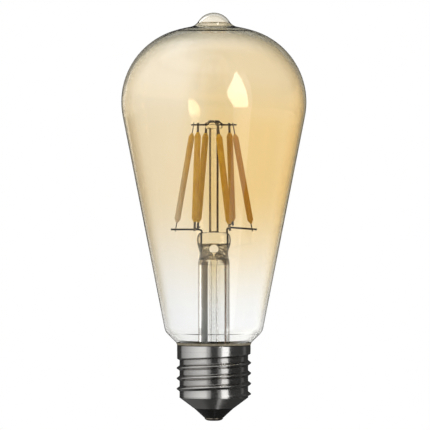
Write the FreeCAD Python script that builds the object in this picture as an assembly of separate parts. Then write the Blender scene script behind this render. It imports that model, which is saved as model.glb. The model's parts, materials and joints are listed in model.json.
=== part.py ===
import FreeCAD, Part
import math
import os
from FreeCAD import Vector

# Smart LED filament lamp: pear-shaped tinted bulb with a drawn tip, glass stem, six LED filaments in a
# cage, a screw cap with 27 mm thread, and the mains driver with its radio board inside the cap.
# Millimetres. Origin: centre of the contact face under the cap. +Z: along the lamp's axis, to the tip.
# Angles are in degrees, counter-clockwise about +Z from +X. -Y is the front.

# ---- glass bulb
OVERALL_LENGTH = 142.4  # contact face to the drawn tip
GLASS_DIAMETER = 64.6
SHOULDER_RADIUS = 26.0
CROWN_RADIUS = 47.5
HEEL_DIAMETER = 34.6
HEEL_Z = 33.1
HEEL_RADIUS = 4.0
BOWL_SLOPE = 45.0  # of the glass under the heel, from the axis
NECK_BOTTOM_Z = 18.9
NECK_FILLET = 1.5
GLASS_WALL = 0.85
CROWN_EXTRA = 0.35  # the crown is thicker than the sides by this much
TIP_RISE = 4.2  # of the drawn tip above the crown
TIP_RADIUS = 6.4
TIP_FILLET = 4.0
TIP_WALL = 0.9
TIP_RIM_FILLET = 2.0  # inside, where the hollow tip opens into the bulb

# ---- stem, all glass
FLARE_DIAMETER = 11.0
FLARE_WALL = 1.0
FLARE_TOP_Z = 54.5
BELL_RADIUS = 6.0  # of the curve that opens the tube out to the neck
BELL_START_Z = 26.0
PRESS_WIDTH = 11.6
PRESS_THICKNESS = 4.6
PRESS_TOP_Z = 65.8
PRESS_CAVITY_HEIGHT = 4.6
EXHAUST_DIAMETER = 3.0
EXHAUST_BORE = 1.9
EXHAUST_MOUTH_DIAMETER = 4.2
EXHAUST_SEAT = 0.2  # its mouth ends this far below the cavity's top, in the press's glass
EXHAUST_BOTTOM_Z = 12.0
VENT_DIAMETER = 3.2  # hole in the press that lets the gas through
VENT_Z = 59.9
VENT_RIM = 0.8  # radius of the vent's rounded rims
VENT_REACH = 3.05  # from the axis to the rims' outer edges
ROD_DIAMETER = 3.36
BUTTON_BOTTOM_Z = 101.9
BUTTON_HEIGHT = 3.0
BUTTON_DIAMETER = 6.2
BUTTON_TOP_DIAMETER = 4.4

# ---- wires
SUPPORT_WIRE = 0.6
CROSS_WIRE = 0.5
ANCHOR_WIRE = 0.5
SEAL_WIRE = 0.4
LEAD_WIRE = 0.5
LEAD_SPREAD = (-4.2, 4.6)  # where the two leads leave the press
SUPPORT_ROOT_Z = 61.8
SEAL_ROOT_Z = 57.3
ARM_Z = (66.8, 67.5)
ARM_REACH = 15.0
ARM_DROOP = (0.0, 0.7)
CROSS_TILT = (0.15, 0.75)  # rise of each cross wire from its middle to its back end
CROSS_SINK = (0.0, 0.1)
CROSS_OVERHANG = 0.9
ANCHOR_Z = 103.3
ANCHOR_RISE = 0.8
ANCHOR_REACH = 8.1
SLEEVE_DIAMETER = 2.3
SLEEVE_WALL = 0.3
SLEEVE_X = -3.3
SLEEVE_TOP_Z = 55.4
WELD_DIAMETER = 0.95
WELD_Z = 52.8
STRIP_GAP = 0.02  # between a strip and the wire it is welded to

# ---- filaments
FILAMENT_BODY = 31.8
FILAMENT_WIDTH = 2.25
FILAMENT_THICKNESS = 2.05
FILAMENT_TAPER = 1.3
STRIP_WIDTH = 0.8
STRIP_THICKNESS = 0.3
STRIP_OVERHANG = 0.75  # of each strip past the wires it is welded to
FOOT_RADIUS = 13.3
HEAD_RADIUS = 7.1
CHIP_COUNT = 28
CHIP_LENGTH = 0.62
CHIP_WIDTH = 0.42
CHIP_THICKNESS = 0.15
FRONT, LEFT = Vector(0, -1, 0), Vector(-1, 0, 0)
FILAMENTS = {  # name: (foot angle, head angle, lift of the body, side of the arm its head is on)
    "left": (180.0, 166.0, -0.3, FRONT),
    "front_left": (243.3, 225.0, -0.1, LEFT),
    "back_left": (112.2, 106.0, -0.6, FRONT),
    "front_right": (291.4, 286.0, -0.9, FRONT),
    "back_right": (63.3, 46.0, -0.9, FRONT),
    "right": (0.0, -14.0, -0.6, FRONT),
}

# ---- screw cap
THREAD_DIAMETER = 26.05  # over the crests
THREAD_DEPTH = 1.025
SKIRT_RELIEF = 0.175  # of the skirt inside the crests, on the radius
SKIRT_GAP = 0.06  # from the skirt's top to the glass above it
SKIRT_ROLL = 0.35  # radius of the skirt's rolled top edge
SKIRT_BOTTOM_Z = 24.2  # true cylinder above this; below it the skirt's edge follows the thread
THREAD_PITCH = 3.629
THREAD_START_Z = 9.34  # crest height at angle 0, first turn
THREAD_BOTTOM_Z = 8.3
CREST_HALF_WIDTH = 1.05
RUN_IN = 0.22  # share of a turn in which the lowest crest grows
SHELL_WALL = 0.45
NECK_GAP = 0.35  # from the glass neck to the shell's inside, filled with cement
CONE_BOTTOM_Z = 4.3
CONE_BOTTOM_DIAMETER = 13.8
CONTACT_DIAMETER = 6.4
CONTACT_HEIGHT = 0.95
CONTACT_FLAT_DIAMETER = 3.4
RIVET_DIAMETER = 2.4
RIVET_BORE = 1.2
RIVET_FLOOR = 0.35  # closed end of the rivet, above the contact face
RIVET_SUNK = 1.4  # of the rivet's upper end under the insulator's top
INSULATOR_TOP_Z = 6.6
CEMENT_BOTTOM_Z = 19.5
CEMENT_BEAD = 0.3
CEMENT_FIT = 0.02
INSULATOR_FIT = 0.02
THREAD_COLUMNS = 36  # samples of the thread's surface round the cap
THREAD_ROW = 0.2  # and along it
SEAM_ANGLE = 90.0

# ---- driver and radio in the cap
LINER_CLEARANCE = 0.2
LINER_WALL = 0.6
LINER_BOTTOM_Z = 8.8
LINER_TOP_Z = 18.0
LINER_LEDGE = 0.7
BOARD_TOP_Z = 16.2
BOARD_THICKNESS = 1.0
BOARD_CLEARANCE = 0.15
BOARD_HOLE = 4.0
CAPACITOR_DIAMETER = 6.3
CAPACITOR_HEIGHT = 6.6
CAPACITOR_AT = (5.0, 3.6)
CAPACITOR_PITCH = 2.5
INDUCTOR_DIAMETER = 5.0
INDUCTOR_HEIGHT = 4.6
INDUCTOR_AT = (3.0, -6.4)
INDUCTOR_PITCH = 2.5
BRIDGE_SIZE = (4.7, 3.9, 1.5)
BRIDGE_AT = (-4.2, -4.2)
CHIP_SIZE = (4.9, 3.9, 1.5)
CHIP_AT = (5.6, -2.9)
FUSE_DIAMETER = 2.4
FUSE_LENGTH = 5.4
FUSE_AT = (-4.6, 2.6)
FUSE_LIFT = 1.0
COMPONENT_LEAD = 0.5
NEUTRAL_AT = (-8.2, 0.6)
NEUTRAL_POKE = 0.36  # of the neutral wire into the shell's top thread
RADIO_WIDTH = 5.6
RADIO_HEIGHT = 9.8
RADIO_THICKNESS = 0.6
RADIO_Y = 2.3
SHIELD_SIZE = (4.6, 1.1, 4.6)
SHIELD_LIFT = 1.0
SHIELD_WALL = 0.15
RADIO_CHIP_SIZE = (3.2, 0.7, 3.2)
ANTENNA_WIDTH = 4.4
ANTENNA_TRACE = 0.5
ANTENNA_THICKNESS = 0.05
ANTENNA_PITCH = 1.1
SMALL_PART_SIZE = (1.6, 0.8, 0.8)
SMALL_PARTS_AT = (
    (-6.6, -3.2), (-6.6, -4.9), (-4.2, -4.1), (-4.2, -5.8),
    (-1.6, -5.6), (-1.6, -7.4), (6.8, 1.6),
)

EXHAUST_TOP_Z = FLARE_TOP_Z + PRESS_CAVITY_HEIGHT - EXHAUST_SEAT
ROOT_DIAMETER = THREAD_DIAMETER - 2 * THREAD_DEPTH
SKIRT_DIAMETER = THREAD_DIAMETER - 2 * SKIRT_RELIEF
NECK_DIAMETER = ROOT_DIAMETER - 2 * (SHELL_WALL + NECK_GAP)

AXIS = Vector(0, 0, 1)
ORIGIN = Vector(0, 0, 0)
FULL_TURN = 360.0


# ---- drawing helpers: outlines are drawn as (radius, height) and turned about the axis
def half(diameter):
    return diameter / 2.0


def at(radius, z):
    return Vector(radius, 0, z)


def polar(radius, angle, z):
    turn = math.radians(angle)
    return Vector(radius * math.cos(turn), radius * math.sin(turn), z)


def line(start, end):
    return Part.LineSegment(at(*start), at(*end)).toShape()


def on_circle(centre, radius, angle):
    turn = math.radians(angle)
    return centre[0] + radius * math.cos(turn), centre[1] + radius * math.sin(turn)


def arc(centre, radius, first, last):
    points = [on_circle(centre, radius, a) for a in (first, (first + last) / 2, last)]
    return Part.Arc(*[at(*p) for p in points]).toShape()


def lines(points):
    return [line(a, b) for a, b in zip(points, points[1:])]


def lathe(edges):
    return Part.Face(Part.Wire(edges)).revolve(ORIGIN, AXIS, FULL_TURN)


def turned(points):
    return lathe(lines(points + points[:1]))


def cylinder(diameter, bottom, top, x=0.0, y=0.0):
    return Part.makeCylinder(half(diameter), top - bottom, Vector(x, y, bottom), AXIS)


def box(size, centre_x, centre_y, bottom):
    corner = Vector(centre_x - size[0] / 2, centre_y - size[1] / 2, bottom)
    return Part.makeBox(*size, corner)


def rounded_path(points, bend):
    """Straight runs joined by tangent arcs, each of the bend radius or what its runs leave room for."""
    edges, start = [], points[0]
    for before, corner, after in zip(points, points[1:], points[2:]):
        into = (corner - before).normalize()
        away = (after - corner).normalize()
        turn = into.getAngle(away)
        if turn < 1e-6:
            continue
        room = 0.45 * min((corner - before).Length, (after - corner).Length)
        reach = min(bend * math.tan(turn / 2), room)
        radius = reach / math.tan(turn / 2)
        first, last = corner - into * reach, corner + away * reach
        inward = (away - into).normalize()
        centre = corner + inward * (radius / math.cos(turn / 2))
        edges.append(Part.LineSegment(start, first).toShape())
        edges.append(Part.Arc(first, centre - inward * radius, last).toShape())
        start = last
    edges.append(Part.LineSegment(start, points[-1]).toShape())
    return Part.Wire(edges)


def bent_wire(points, diameter, bend=1.0):
    path = rounded_path(points, bend) if len(points) > 2 else None
    direction = (points[1] - points[0]).normalize()
    if path is None:
        length = (points[1] - points[0]).Length
        return Part.makeCylinder(half(diameter), length, points[0], direction)
    section = Part.Wire(Part.makeCircle(half(diameter), points[0], direction))
    return path.makePipeShell([section], True, False)


# ---- glass bulb
def glass_centres():
    """Centres of the arcs that make the bulb's outline."""
    out = half(GLASS_DIAMETER) - SHOULDER_RADIUS
    crown = (0.0, OVERALL_LENGTH - TIP_RISE - CROWN_RADIUS)
    rise = math.sqrt((CROWN_RADIUS - SHOULDER_RADIUS) ** 2 - out**2)
    shoulder = (out, crown[1] + rise)
    heel = (half(HEEL_DIAMETER) - HEEL_RADIUS, HEEL_Z)
    return crown, shoulder, heel


def cone_angle(shoulder, shoulder_radius, heel, heel_radius):
    """Angle below level of the outward normal on the straight side, tangent to both arcs."""
    across, down = heel[0] - shoulder[0], shoulder[1] - heel[1]
    reach = math.hypot(across, down)
    return math.degrees(
        math.asin((shoulder_radius - heel_radius) / reach) - math.atan2(across, down)
    )


def bowl_end():
    """Centre of the neck's fillet, and where the bowl's straight slope meets it."""
    heel = glass_centres()[2]
    start = on_circle(heel, HEEL_RADIUS, -BOWL_SLOPE)
    slope = math.radians(BOWL_SLOPE)
    fillet_r = half(NECK_DIAMETER) + NECK_FILLET
    meet_r = fillet_r - NECK_FILLET * math.cos(slope)
    meet_z = start[1] - (start[0] - meet_r) / math.tan(slope)
    return (fillet_r, meet_z - NECK_FILLET * math.sin(slope)), (meet_r, meet_z)


def bowl_point(radius):
    """Point of the bowl's straight slope at a radius, on the outside."""
    meet = bowl_end()[1]
    return radius, meet[1] + (radius - meet[0]) / math.tan(math.radians(BOWL_SLOPE))


def skirt_top():
    return bowl_point(half(SKIRT_DIAMETER) - SHELL_WALL)[1] - SKIRT_GAP


def glass_sides(wall, sink):
    """Edges from the crown's end down to the neck's bottom, set in by a wall, the upper arcs lowered."""
    crown, shoulder, heel = glass_centres()
    shoulder = (shoulder[0], shoulder[1] - sink)
    crown = (crown[0], crown[1] - sink)
    fillet = bowl_end()[0]
    join = math.degrees(math.atan2(shoulder[1] - crown[1], shoulder[0]))
    lean = cone_angle(shoulder, SHOULDER_RADIUS - wall, heel, HEEL_RADIUS - wall)
    cone_top = on_circle(shoulder, SHOULDER_RADIUS - wall, -lean)
    cone_foot = on_circle(heel, HEEL_RADIUS - wall, -lean)
    bowl_top = on_circle(heel, HEEL_RADIUS - wall, -BOWL_SLOPE)
    bowl_foot = on_circle(fillet, NECK_FILLET + wall, 180 - BOWL_SLOPE)
    neck = half(NECK_DIAMETER) - wall
    return [
        arc(shoulder, SHOULDER_RADIUS - wall, join, -lean),
        line(cone_top, cone_foot),
        arc(heel, HEEL_RADIUS - wall, -lean, -BOWL_SLOPE),
        line(bowl_top, bowl_foot),
        arc(fillet, NECK_FILLET + wall, 180 - BOWL_SLOPE, 180),
        line((neck, fillet[1]), (neck, NECK_BOTTOM_Z)),
    ], (crown, join)


def tip_sides(tip_radius, crown, crown_radius, fillet_radius, join):
    """Edges from the tip's top down its dome and over the crown, with the fillet that touches both."""
    tip = (0.0, OVERALL_LENGTH - TIP_RADIUS)
    near, far = tip_radius + fillet_radius, crown_radius + fillet_radius
    gap = tip[1] - crown[1]
    rise = (far**2 - near**2 + gap**2) / (2 * gap)
    fillet = (math.sqrt(far**2 - rise**2), crown[1] + rise)
    to_tip = math.degrees(math.atan2(fillet[1] - tip[1], fillet[0]))
    to_crown = math.degrees(math.atan2(fillet[1] - crown[1], fillet[0]))
    return [
        arc(tip, tip_radius, 90, to_tip),
        arc(fillet, fillet_radius, 180 + to_tip, 180 + to_crown),
        arc(crown, crown_radius, to_crown, join),
    ]


def glass_bulb():
    """Blown bulb, open at the neck, with a hollow tip."""
    outer, (crown, join) = glass_sides(0.0, 0.0)
    inner, (inner_crown, _) = glass_sides(GLASS_WALL, CROWN_EXTRA)
    neck = half(NECK_DIAMETER)
    edges = [
        *tip_sides(TIP_RADIUS, crown, CROWN_RADIUS, TIP_FILLET, join),
        *outer,
        line((neck, NECK_BOTTOM_Z), (neck - GLASS_WALL, NECK_BOTTOM_Z)),
        *inner,
        *tip_sides(TIP_RADIUS - TIP_WALL, inner_crown, CROWN_RADIUS - GLASS_WALL, TIP_RIM_FILLET, join),
        line((0.0, OVERALL_LENGTH - TIP_WALL), (0.0, OVERALL_LENGTH)),
    ]
    return lathe(Part.__sortEdges__(edges))


# ---- stem
def bell_outline(wall):
    """Arc of the bell, from the tube out to the inside of the neck."""
    centre = (half(FLARE_DIAMETER) + BELL_RADIUS, BELL_START_Z)
    radius = BELL_RADIUS + wall
    neck = half(NECK_DIAMETER) - GLASS_WALL
    last = FULL_TURN - math.degrees(math.acos((neck - centre[0]) / radius))
    return arc(centre, radius, 180, last), on_circle(centre, radius, last)


def stem_flare():
    tube = half(FLARE_DIAMETER)
    outside, outer_end = bell_outline(0.0)
    inside, inner_end = bell_outline(FLARE_WALL)
    bore = tube - FLARE_WALL
    edges = [
        line((bore, FLARE_TOP_Z), (tube, FLARE_TOP_Z)),
        line((tube, FLARE_TOP_Z), (tube, BELL_START_Z)),
        outside,
        line(outer_end, inner_end),
        inside,
        line((bore, BELL_START_Z), (bore, FLARE_TOP_Z)),
    ]
    return lathe(Part.__sortEdges__(edges))


def oval(width, thickness, z):
    major, minor = half(width), half(thickness)
    if abs(major - minor) < 1e-6:
        return Part.Wire(Part.makeCircle(major, Vector(0, 0, z), AXIS))
    return Part.Wire(Part.Ellipse(Vector(0, 0, z), major, minor).toShape())


def vent_hole():
    """What the vent takes out of the press: a bore from front to back whose rims open out on a radius."""
    bore, rim = half(VENT_DIAMETER), half(VENT_DIAMETER) + VENT_RIM
    end, bend = half(PRESS_WIDTH), VENT_REACH - VENT_RIM
    hole = lathe(
        [
            *lines([(0.0, -end), (rim, -end), (rim, -VENT_REACH)]),
            arc((rim, -bend), VENT_RIM, 270, 180),
            line((bore, -bend), (bore, bend)),
            arc((rim, bend), VENT_RIM, 180, 90),
            *lines([(rim, VENT_REACH), (rim, end), (0.0, end), (0.0, -end)]),
        ]
    )
    hole.rotate(ORIGIN, Vector(1, 0, 0), 90)
    hole.translate(Vector(0, 0, VENT_Z))
    return hole


def stem_press(wires):
    """The tube's top, squeezed flat round the two leads, with the vent through it."""
    height = PRESS_TOP_Z - FLARE_TOP_Z
    sections = [  # share of the height, share of the press's width and thickness
        (0.12, 0.93, 2.15),
        (0.32, 0.86, 1.7),
        (0.60, 0.98, 1.08),
        (0.86, 1.0, 1.0),
        (0.95, 0.92, 0.96),
        (1.0, 0.74, 0.86),
    ]
    rings = [oval(FLARE_DIAMETER, FLARE_DIAMETER, FLARE_TOP_Z)]
    for share, wide, thick in sections:
        z = FLARE_TOP_Z + share * height
        rings.append(oval(PRESS_WIDTH * wide, PRESS_THICKNESS * thick, z))
    body = Part.makeLoft(rings, True, False)
    cavity_radius = half(FLARE_DIAMETER) - FLARE_WALL
    dome = Part.makeSphere(1.0, ORIGIN, AXIS, 0, 90, 360)
    squash = FreeCAD.Matrix()
    squash.scale(cavity_radius, cavity_radius, PRESS_CAVITY_HEIGHT)
    cavity = dome.transformGeometry(squash)
    cavity.translate(Vector(0, 0, FLARE_TOP_Z))
    channel = cylinder(EXHAUST_BORE, FLARE_TOP_Z, VENT_Z)
    seat = exhaust_body()
    body = body.cut(cavity).cut(seat).cut(vent_hole()).cut(channel)
    for wire in wires:
        body = body.cut(wire)
    return body


def exhaust_body():
    """Outside of the exhaust tube: a trumpet at the top, sealed to a point at the bottom."""
    tube = half(EXHAUST_DIAMETER)
    mouth = half(EXHAUST_MOUTH_DIAMETER)
    spread = 2 * (mouth - tube)
    return turned(
        [
            (0.0, EXHAUST_BOTTOM_Z),
            (tube * 0.35, EXHAUST_BOTTOM_Z),
            (tube, EXHAUST_BOTTOM_Z + EXHAUST_DIAMETER),
            (tube, EXHAUST_TOP_Z - 2 * spread),
            (tube + 0.2 * spread, EXHAUST_TOP_Z - spread),
            (mouth, EXHAUST_TOP_Z),
            (0.0, EXHAUST_TOP_Z),
        ]
    )


def exhaust_tube():
    seal = EXHAUST_BOTTOM_Z + EXHAUST_DIAMETER
    return exhaust_body().cut(cylinder(EXHAUST_BORE, seal, EXHAUST_TOP_Z + 1))


def stem_rod():
    rod = half(ROD_DIAMETER)
    foot = 0.4
    edges = [
        line((0.0, PRESS_TOP_Z), (rod + foot / 2, PRESS_TOP_Z)),
        line((rod + foot / 2, PRESS_TOP_Z), (rod, PRESS_TOP_Z + foot)),
        *lines([(rod, PRESS_TOP_Z + foot), (rod, BUTTON_BOTTOM_Z), (0.0, BUTTON_BOTTOM_Z)]),
        line((0.0, BUTTON_BOTTOM_Z), (0.0, PRESS_TOP_Z)),
    ]
    return lathe(edges)


def stem_button(anchors):
    """Glass bead on the rod: a rounded rim below and a flatter cap above, with the anchors in it."""
    rod, rim, cap = half(ROD_DIAMETER), half(BUTTON_DIAMETER), half(BUTTON_TOP_DIAMETER)
    top = BUTTON_BOTTOM_Z + BUTTON_HEIGHT
    rim_radius = 0.28 * BUTTON_HEIGHT
    cap_radius = 0.22 * BUTTON_HEIGHT
    rim_centre = (rim - rim_radius, BUTTON_BOTTOM_Z + rim_radius)
    cap_centre = (cap - cap_radius, top - cap_radius)
    edges = [
        line((0.0, BUTTON_BOTTOM_Z), (rod, BUTTON_BOTTOM_Z)),
        line((rod, BUTTON_BOTTOM_Z), (rim_centre[0], BUTTON_BOTTOM_Z)),
        arc(rim_centre, rim_radius, -90, 60),
        line(on_circle(rim_centre, rim_radius, 60), on_circle(cap_centre, cap_radius, 20)),
        arc(cap_centre, cap_radius, 20, 90),
        line((cap_centre[0], top), (0.0, top)),
        line((0.0, top), (0.0, BUTTON_BOTTOM_Z)),
    ]
    button = lathe(edges)
    for wire in anchors:
        button = button.cut(wire)
    return button


# ---- wires of the cage
def anchor_wire(angle):
    """One arm of the spider: out of the button, a step down, then level to the filament's head."""
    start = 0.35 * half(BUTTON_TOP_DIAMETER)
    edge = half(BUTTON_DIAMETER)
    high = ANCHOR_Z + ANCHOR_RISE
    return bent_wire(
        [
            polar(start, angle, high),
            polar(0.72 * edge, angle, high),
            polar(1.08 * edge, angle, ANCHOR_Z),
            polar(ANCHOR_REACH, angle, ANCHOR_Z),
        ],
        ANCHOR_WIRE,
        0.5,
    )


def support_wire(side):
    """Lead support: up out of the press, then out to the outer filament's foot."""
    x = LEAD_SPREAD[side]
    z = ARM_Z[side]
    out = math.copysign(1.0, x)
    return bent_wire(
        [
            Vector(x, 0, SUPPORT_ROOT_Z),
            Vector(x, 0, z - 0.3),
            Vector(x + out * 1.2, 0, z),
            Vector(out * ARM_REACH, 0, z - ARM_DROOP[side]),
        ],
        SUPPORT_WIRE,
        0.8,
    )


def cross_wire_ends(side):
    """The cross wire's two ends, just past the feet of the front and back filaments of its side."""
    front, back = (("front_left", "back_left"), ("front_right", "back_right"))[side]
    z = ARM_Z[side] + half(SUPPORT_WIRE) + half(CROSS_WIRE) - CROSS_SINK[side]
    ends = []
    for name, tilt in ((front, -CROSS_TILT[side]), (back, CROSS_TILT[side])):
        foot = FILAMENTS[name][0]
        point = polar(FOOT_RADIUS, foot, z + tilt)
        ends.append(point)
    along = (ends[1] - ends[0]).normalize()
    return ends[0] - along * CROSS_OVERHANG, ends[1] + along * CROSS_OVERHANG


def cross_wire(side):
    return bent_wire(list(cross_wire_ends(side)), CROSS_WIRE)


def seal_wire(side):
    return cylinder(SEAL_WIRE, SEAL_ROOT_Z, SUPPORT_ROOT_Z, LEAD_SPREAD[side], 0.0)


def lead_pad(side):
    """Where a lead goes through the driver board."""
    return (SLEEVE_X, 0.0) if side == 0 else (half(BOARD_HOLE) + 1.1, 0.0)


def lead_lane(side):
    """How far from the axis a lead runs down inside the flare."""
    return SLEEVE_X if side == 0 else half(FLARE_DIAMETER) - FLARE_WALL - LEAD_WIRE


def lead_wire(side):
    """Copper lead from the press down through the flare to the driver board."""
    x, lane = LEAD_SPREAD[side], lead_lane(side)
    pad_x, pad_y = lead_pad(side)
    return bent_wire(
        [
            Vector(x, 0, SEAL_ROOT_Z),
            Vector(x, 0, SEAL_ROOT_Z - 1.1),
            Vector(lane, 0, FLARE_TOP_Z + 0.1),
            Vector(lane, 0, BELL_START_Z),
            Vector(pad_x, pad_y, BOARD_TOP_Z + 3.0),
            Vector(pad_x, pad_y, BOARD_TOP_Z - BOARD_THICKNESS - 0.5),
        ],
        LEAD_WIRE,
        4.0,
    )


def lead_weld(wire):
    """Knot of the weld on the bare lead."""
    knot = Part.makeSphere(half(WELD_DIAMETER), Vector(lead_lane(1), 0, WELD_Z))
    return knot.cut(wire)


def lead_sleeve():
    bore = SLEEVE_DIAMETER - 2 * SLEEVE_WALL
    bottom = BOARD_TOP_Z
    outer = cylinder(SLEEVE_DIAMETER, bottom, SLEEVE_TOP_Z, SLEEVE_X)
    rim = [e for e in outer.Edges if abs(e.BoundBox.ZMin - SLEEVE_TOP_Z) < 0.01 and e.Closed]
    outer = outer.makeFillet(SLEEVE_WALL * 0.9, rim)
    return outer.cut(cylinder(bore, bottom - 1, SLEEVE_TOP_Z + 1, SLEEVE_X))


# ---- filaments
def wire_side(wire_direction, filament_direction, outward, reach):
    """Step from a wire's centre line to a strip welded on its outward side."""
    step = wire_direction.cross(filament_direction).normalize()
    if step.dot(outward) < 0:
        step = step * -1
    return step * reach


def filament_ends(name):
    """Points where a filament's centre line passes the wire at its foot and at its head."""
    foot_angle, head_angle, _, head_side = FILAMENTS[name]
    beside = half(STRIP_WIDTH) + STRIP_GAP
    head_dir = polar(1, head_angle, 0)
    head = polar(HEAD_RADIUS, head_angle, ANCHOR_Z)
    if name in ("left", "right"):
        side = 0 if name == "left" else 1
        run = ARM_REACH - abs(LEAD_SPREAD[side])
        z = ARM_Z[side] - ARM_DROOP[side] * (FOOT_RADIUS - abs(LEAD_SPREAD[side])) / run
        foot = polar(FOOT_RADIUS, foot_angle, z)
        foot_dir = polar(1, foot_angle, 0)
        sideways = Vector(0, -1, 0)
        foot_reach = beside + half(SUPPORT_WIRE)
    else:
        side = 0 if name.endswith("left") else 1
        ends = cross_wire_ends(side)
        foot_dir = (ends[1] - ends[0]).normalize()
        near = ends[0] if name.startswith("front") else ends[1]
        inward = 1 if name.startswith("front") else -1
        foot = near + foot_dir * (inward * CROSS_OVERHANG)
        sideways = polar(1, foot_angle, 0)
        foot_reach = beside + half(CROSS_WIRE)
    up = (head - foot).normalize()
    foot = foot + wire_side(foot_dir, up, sideways, foot_reach)
    head = head + wire_side(head_dir, up, head_side, beside + half(ANCHOR_WIRE))
    return foot, head


def filament_frame(name):
    """Placement that carries a filament drawn upright at the origin into the cage, flat face outwards."""
    foot, head = filament_ends(name)
    up = (head - foot).normalize()
    middle = (foot + head) * 0.5
    outward = Vector(middle.x, middle.y, 0)
    outward = (outward - up * outward.dot(up)).normalize()
    across = outward.cross(up)
    turn = FreeCAD.Matrix(
        across.x, outward.x, up.x, middle.x,
        across.y, outward.y, up.y, middle.y,
        across.z, outward.z, up.z, middle.z,
        0, 0, 0, 1,
    )
    return FreeCAD.Placement(turn)


def filament_strip(name):
    foot, head = filament_ends(name)
    length = (head - foot).Length + 2 * STRIP_OVERHANG
    return box((STRIP_WIDTH, STRIP_THICKNESS, length), 0, 0, -length / 2)


def filament_chips(name):
    """The light-emitting dies in a row on the strip's outer face."""
    lift = FILAMENTS[name][2]
    pitch = (FILAMENT_BODY - 2 * FILAMENT_TAPER) / CHIP_COUNT
    first = lift - pitch * (CHIP_COUNT - 1) / 2 - CHIP_LENGTH / 2
    y = (STRIP_THICKNESS + CHIP_THICKNESS) / 2
    size = (CHIP_WIDTH, CHIP_THICKNESS, CHIP_LENGTH)
    return Part.Compound([box(size, 0, y, first + n * pitch) for n in range(CHIP_COUNT)])


def filament_coating(name):
    """Oval phosphor body with tapered ends, open inside for the strip and its dies."""
    end = FILAMENT_BODY / 2
    lift = FILAMENTS[name][2]
    end_width, end_thickness = STRIP_WIDTH + 0.3, STRIP_THICKNESS + 0.3
    rings = [
        oval(end_width, end_thickness, lift - end),
        oval(FILAMENT_WIDTH, FILAMENT_THICKNESS, lift - end + FILAMENT_TAPER),
        oval(FILAMENT_WIDTH, FILAMENT_THICKNESS, lift + end - FILAMENT_TAPER),
        oval(end_width, end_thickness, lift + end),
    ]
    body = Part.makeLoft(rings, True, True)
    length = FILAMENT_BODY - 2 * FILAMENT_TAPER
    y = (STRIP_THICKNESS + CHIP_THICKNESS) / 2
    channel = box((CHIP_WIDTH, CHIP_THICKNESS, length), 0, y, lift - length / 2)
    return body.cut(filament_strip(name).fuse(channel))


# ---- screw cap
def smooth_step(low, high, value):
    share = min(max((value - low) / (high - low), 0.0), 1.0)
    return share * share * (3 - 2 * share)


def skirt_edge(angle):
    """Height where the skirt begins: along the thread's last half turn in front, and back down behind."""
    low = THREAD_START_Z + 3.5 * THREAD_PITCH
    rise = THREAD_PITCH / 2
    if angle >= 180:
        return low + rise * (angle - 180) / 180
    return low + rise * (1 - smooth_step(0, 180, angle))


def shell_radius(z, angle):
    """Outside radius of the rolled thread at a height and an angle."""
    root, skirt = half(ROOT_DIAMETER), half(SKIRT_DIAMETER)
    crest = 0.0
    for turn in range(-1, 6):
        along = turn + angle / FULL_TURN
        off = abs(z - THREAD_START_Z - along * THREAD_PITCH)
        if off < CREST_HALF_WIDTH:
            grown = smooth_step(-RUN_IN, 0.02, along)
            crest = grown * THREAD_DEPTH * 0.5 * (1 + math.cos(math.pi * off / CREST_HALF_WIDTH))
    edge = skirt_edge(angle)
    onto_skirt = smooth_step(edge - 0.9 * CREST_HALF_WIDTH, edge - 0.1 * CREST_HALF_WIDTH, z)
    off_cone = smooth_step(THREAD_BOTTOM_Z, THREAD_BOTTOM_Z + 0.9, z)
    below = root + crest * off_cone
    return max(below * (1 - onto_skirt) + skirt * onto_skirt, min(below, skirt))


def thread_core(inset, bottom, top):
    """Solid inside the rolled thread's surface, set in by an amount, between two heights."""
    rows = round((top - bottom) / THREAD_ROW)
    heights = [bottom + (top - bottom) * row / rows for row in range(rows + 1)]
    grid = []
    for column in range(THREAD_COLUMNS + 1):
        share = (column % THREAD_COLUMNS) / THREAD_COLUMNS
        angle = (SEAM_ANGLE + FULL_TURN * share) % FULL_TURN
        grid.append([polar(shell_radius(z, angle) - inset, angle, z) for z in heights])
    surface = Part.BSplineSurface()
    surface.interpolate(grid)
    surface.setUPeriodic()
    side = surface.toShape()
    rims = [e for e in side.Edges if e.BoundBox.ZLength < 1e-4]
    skin = Part.Compound([side] + [Part.Face(Part.Wire([rim])) for rim in rims])
    skin.sewShape(1e-3)
    solid = Part.makeSolid(skin)
    if solid.Volume < 0:
        solid.reverse()
    return solid


def cap_shell():
    """Thin shell: plain skirt, rolled thread and the cone that holds the insulator."""
    skirt, root = half(SKIRT_DIAMETER), half(ROOT_DIAMETER)
    lip = half(CONE_BOTTOM_DIAMETER)
    tuck = 0.02  # of the thread's sheet inside the plain parts it joins
    roll = (skirt - SKIRT_ROLL, skirt_top() - SKIRT_ROLL)
    top = lathe(
        [
            line((skirt, SKIRT_BOTTOM_Z), (skirt, roll[1])),
            arc(roll, SKIRT_ROLL, 0, 90),
            *lines(
                [
                    (roll[0], skirt_top()),
                    (skirt - SHELL_WALL, skirt_top()),
                    (skirt - SHELL_WALL, SKIRT_BOTTOM_Z),
                    (skirt, SKIRT_BOTTOM_Z),
                ]
            ),
        ]
    )
    low = CONE_BOTTOM_Z
    knee = THREAD_BOTTOM_Z - 0.2
    bottom = turned(
        [
            (root, THREAD_BOTTOM_Z),
            (root, knee),
            (lip, low),
            (lip - SHELL_WALL, low + SHELL_WALL * 0.4),
            (root - SHELL_WALL, knee + SHELL_WALL * 0.4),
            (root - SHELL_WALL, THREAD_BOTTOM_Z),
        ]
    )
    start, end = THREAD_BOTTOM_Z - 0.1, SKIRT_BOTTOM_Z + 0.1
    outside = thread_core(tuck, start, end)
    inside = thread_core(SHELL_WALL - tuck, start - THREAD_ROW, end + THREAD_ROW)
    return outside.cut(inside).fuse([top, bottom])


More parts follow.
